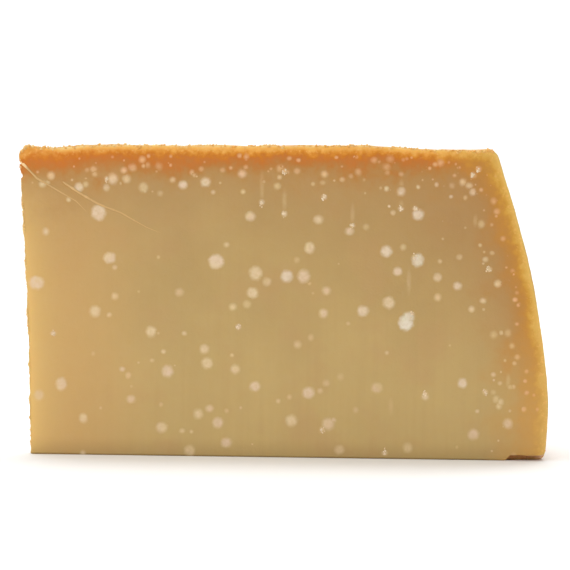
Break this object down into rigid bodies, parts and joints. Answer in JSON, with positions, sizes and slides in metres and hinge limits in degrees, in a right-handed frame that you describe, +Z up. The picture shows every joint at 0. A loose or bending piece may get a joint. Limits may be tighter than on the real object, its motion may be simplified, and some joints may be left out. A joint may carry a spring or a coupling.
{
  "type": "aged hard cheese chunk",
  "caption": "Wedge of aged hard cheese cut from the upper half of a wheel, with a grainy paste full of pale crystals and an amber rind over its top and rounded heel.",
  "frame": {"origin": "on the base, under the middle of the chunk's box", "axes": "+Z up, +X along the front knife cut from the tip towards the rind at the heel, the front cut facing -Y"},
  "size_m": [0.188, 0.078, 0.1105],
  "materials": {
    "cheese": "satin, grainy cut cheese with an amber rind"
  },
  "bodies": {
    "root": {"hard_cheese_chunk": "cheese"}
  },
  "joints": []
}
